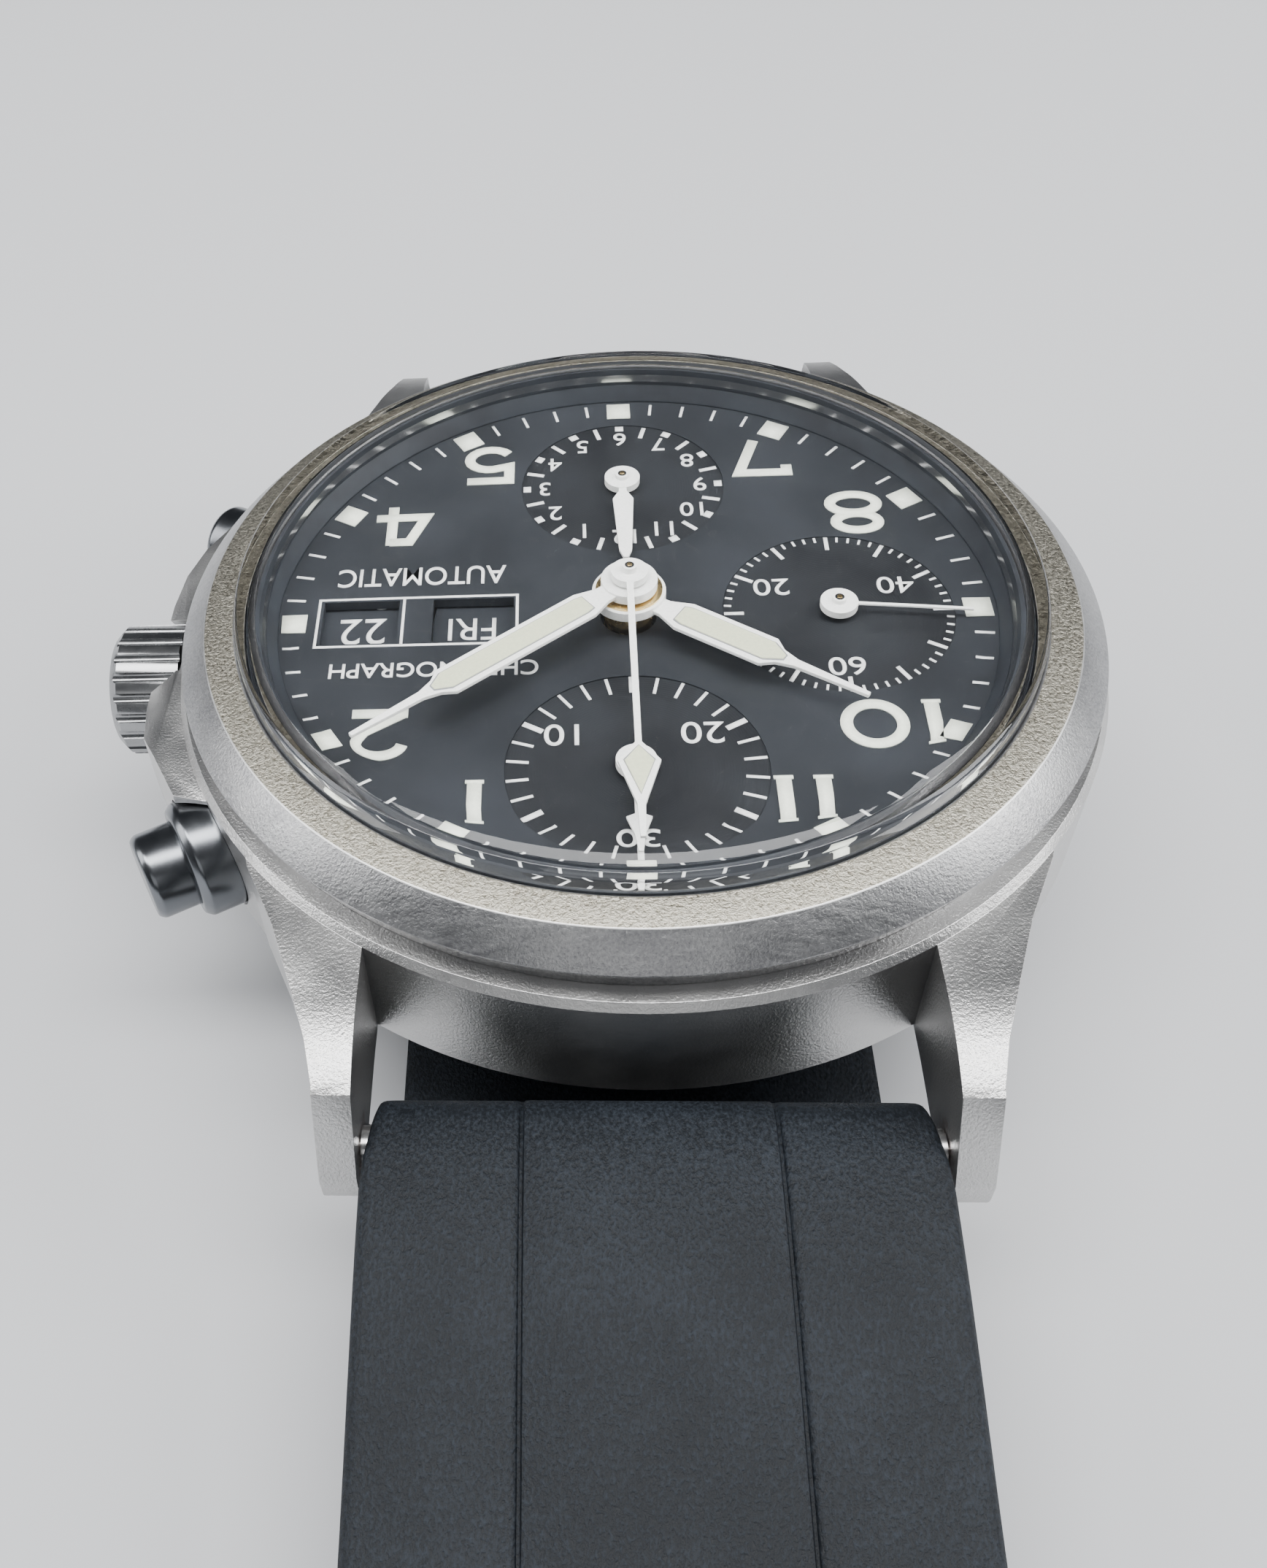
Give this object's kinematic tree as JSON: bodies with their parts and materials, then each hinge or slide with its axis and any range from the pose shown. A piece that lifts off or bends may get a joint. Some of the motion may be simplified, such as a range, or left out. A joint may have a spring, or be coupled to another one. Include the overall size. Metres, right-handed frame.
{
  "type": "chronograph wristwatch",
  "caption": "Automatic chronograph wristwatch in a round steel case with a domed crystal, day-date and counter dials, push buttons, a fluted crown and a rubber strap with a pin buckle.",
  "frame": {"origin": "On the dial's axis, on the underside of the strap half that is folded under the case, where the watch rests.", "axes": "+Z leaves the dial, +Y points to 12 o'clock and along the strap to the buckle, +X points along the winding stem to the crown."},
  "size_m": [0.0418, 0.1396, 0.0179],
  "materials": {
    "case_steel": "bead-blasted and satin steel",
    "polished_steel": "polished steel",
    "acrylic": "clear polished acrylic",
    "dial_black": "matte black print coat",
    "hand_white": "white paint",
    "gilt_brass": "gilt",
    "plated_brass": "nickel-plated, satin",
    "ruby": "polished",
    "strap_rubber": "matte moulded rubber",
    "gasket_rubber": "smooth rubber"
  },
  "bodies": {
    "case": {"midcase": "case_steel", "bezel": "case_steel", "crystal": "acrylic", "tension_ring": "dial_black", "dial_flange": "dial_black", "case_back": "case_steel", "back_gasket": "gasket_rubber", "crown_tube": "case_steel", "start_tube": "case_steel", "reset_tube": "case_steel", "button_springs": "polished_steel", "movement_ring": "plated_brass", "case_clamps": "polished_steel", "dial": "dial_black", "mainplate": "plated_brass", "barrel_bridge": "plated_brass", "train_bridge": "plated_brass", "chronograph_bridge": "plated_brass", "balance_cock": "plated_brass", "jewels": "ruby", "bridge_screws": "polished_steel", "rotor_post": "polished_steel", "spring_bar_12": "case_steel", "spring_bar_6": "case_steel"},
    "keyless": {"setting_lever": "polished_steel"},
    "crown": {"crown": "case_steel", "winding_stem": "polished_steel"},
    "start_button": {"start_button": "case_steel"},
    "reset_button": {"reset_button": "case_steel"},
    "hour_hand": {"hour_hand": "hand_white", "hour_wheel": "gilt_brass"},
    "minute_hand": {"minute_hand": "hand_white", "cannon_pinion": "polished_steel", "centre_wheel": "gilt_brass"},
    "minute_wheel": {"minute_wheel": "gilt_brass"},
    "running_seconds": {"running_seconds_hand": "hand_white", "fourth_wheel": "gilt_brass"},
    "third_wheel": {"third_wheel": "gilt_brass"},
    "escape_wheel": {"escape_wheel": "polished_steel"},
    "pallet_fork": {"pallet_fork": "polished_steel"},
    "balance": {"balance_wheel": "gilt_brass", "hairspring": "polished_steel"},
    "barrel": {"mainspring_barrel": "gilt_brass"},
    "date_disc": {"date_disc": "dial_black"},
    "day_disc": {"day_disc": "dial_black"},
    "chrono_seconds": {"chrono_seconds_hand": "hand_white", "chrono_wheel": "gilt_brass"},
    "minute_counter": {"minute_counter_hand": "hand_white", "minute_counter_wheel": "gilt_brass"},
    "hour_counter": {"hour_counter_hand": "hand_white", "hour_counter_wheel": "gilt_brass"},
    "rotor": {"rotor": "plated_brass"},
    "strap_12": {"strap_buckle_half": "strap_rubber", "fixed_keeper": "strap_rubber", "buckle_bar": "case_steel"},
    "free_keeper": {"free_keeper": "strap_rubber"},
    "strap_6": {"strap_hole_half": "strap_rubber"},
    "buckle_frame": {"buckle_frame": "case_steel"},
    "buckle_tongue": {"buckle_tongue": "case_steel"}
  },
  "joints": [
    {"name": "running_seconds_turn", "type": "hinge", "parent": "case", "child": "running_seconds", "pos_m": [-0.0085, 0, 0.012], "axis": [0, 0, -1], "continuous": true},
    {"name": "minute_turn", "type": "hinge", "parent": "case", "child": "minute_hand", "pos_m": [0, 0, 0.012], "axis": [0, 0, -1], "continuous": true},
    {"name": "hour_turn", "type": "hinge", "parent": "case", "child": "hour_hand", "pos_m": [0, 0, 0.0122], "axis": [0, 0, -1], "continuous": true},
    {"name": "minute_wheel_turn", "type": "hinge", "parent": "case", "child": "minute_wheel", "pos_m": [0.0025, -0.0019, 0.012], "axis": [0, 0, -1], "continuous": true},
    {"name": "third_wheel_turn", "type": "hinge", "parent": "case", "child": "third_wheel", "pos_m": [-0.004, -0.0028, 0.009], "axis": [0, 0, -1], "continuous": true},
    {"name": "escape_wheel_turn", "type": "hinge", "parent": "case", "child": "escape_wheel", "pos_m": [-0.0092, -0.0045, 0.009], "axis": [0, 0, -1], "continuous": true},
    {"name": "barrel_turn", "type": "hinge", "parent": "case", "child": "barrel", "pos_m": [0.005, 0.0044, 0.0085], "axis": [0, 0, -1], "continuous": true},
    {"name": "chrono_seconds_turn", "type": "hinge", "parent": "case", "child": "chrono_seconds", "pos_m": [0, 0, 0.012], "axis": [0, 0, -1], "continuous": true},
    {"name": "minute_counter_turn", "type": "hinge", "parent": "case", "child": "minute_counter", "pos_m": [0, 0.0085, 0.011], "axis": [0, 0, -1], "continuous": true},
    {"name": "hour_counter_turn", "type": "hinge", "parent": "case", "child": "hour_counter", "pos_m": [0, -0.0085, 0.011], "axis": [0, 0, -1], "continuous": true},
    {"name": "date_turn", "type": "hinge", "parent": "case", "child": "date_disc", "pos_m": [0, 0, 0.0124], "axis": [0, 0, -1], "continuous": true},
    {"name": "day_turn", "type": "hinge", "parent": "case", "child": "day_disc", "pos_m": [0, 0, 0.0124], "axis": [0, 0, -1], "continuous": true},
    {"name": "rotor_turn", "type": "hinge", "parent": "case", "child": "rotor", "pos_m": [0, 0, 0.0048], "axis": [0, 0, -1], "continuous": true},
    {"name": "balance_swing", "type": "hinge", "parent": "case", "child": "balance", "pos_m": [-0.0049, -0.0084, 0.008], "axis": [0, 0, 1], "range_deg": [-270, 270], "stiffness_Nm_per_rad": 0.0000001},
    {"name": "pallet_rock", "type": "hinge", "parent": "case", "child": "pallet_fork", "pos_m": [-0.0074, -0.0056, 0.009], "axis": [0, 0, 1], "range_deg": [-6, 6]},
    {"name": "crown_pull", "type": "slide", "parent": "case", "child": "keyless", "axis": [1, 0, 0], "range_m": [0, 0.001]},
    {"name": "crown_turn", "type": "hinge", "parent": "keyless", "child": "crown", "pos_m": [0.02, 0, 0.0097], "axis": [1, 0, 0], "continuous": true},
    {"name": "start_press", "type": "slide", "parent": "case", "child": "start_button", "axis": [-0.8746, -0.4848, 0], "range_m": [0, 0.0008], "stiffness_N_per_m": 1500, "springref_m": -0.0003},
    {"name": "reset_press", "type": "slide", "parent": "case", "child": "reset_button", "axis": [-0.8746, 0.4848, 0], "range_m": [0, 0.0008], "stiffness_N_per_m": 1500, "springref_m": -0.0003},
    {"name": "strap_12_hinge", "type": "hinge", "parent": "case", "child": "strap_12", "pos_m": [0, 0.0219, 0.0082], "axis": [1, 0, 0], "range_deg": [0, 80]},
    {"name": "strap_6_hinge", "type": "hinge", "parent": "case", "child": "strap_6", "pos_m": [0, -0.0219, 0.0082], "axis": [-1, 0, 0], "range_deg": [0, 70]},
    {"name": "keeper_slide", "type": "slide", "parent": "strap_12", "child": "free_keeper", "axis": [0, 1, 0], "range_m": [-0.008, 0.008]},
    {"name": "buckle_hinge", "type": "hinge", "parent": "strap_12", "child": "buckle_frame", "pos_m": [0, 0.098, 0.00165], "axis": [1, 0, 0], "range_deg": [0, 100]},
    {"name": "tongue_hinge", "type": "hinge", "parent": "strap_12", "child": "buckle_tongue", "pos_m": [0, 0.098, 0.00165], "axis": [1, 0, 0], "range_deg": [0, 110]}
  ],
  "couplings": [
    {"joint": "minute_turn", "follows": "running_seconds_turn", "ratio": 0.016667},
    {"joint": "hour_turn", "follows": "running_seconds_turn", "ratio": 0.0013889},
    {"joint": "third_wheel_turn", "follows": "running_seconds_turn", "ratio": -0.13333},
    {"joint": "escape_wheel_turn", "follows": "running_seconds_turn", "ratio": -12},
    {"joint": "minute_wheel_turn", "follows": "running_seconds_turn", "ratio": -0.0055556},
    {"joint": "barrel_turn", "follows": "running_seconds_turn", "ratio": -0.0022222},
    {"joint": "minute_counter_turn", "follows": "chrono_seconds_turn", "ratio": 0.033333},
    {"joint": "hour_counter_turn", "follows": "chrono_seconds_turn", "ratio": 0.0013889}
  ]
}
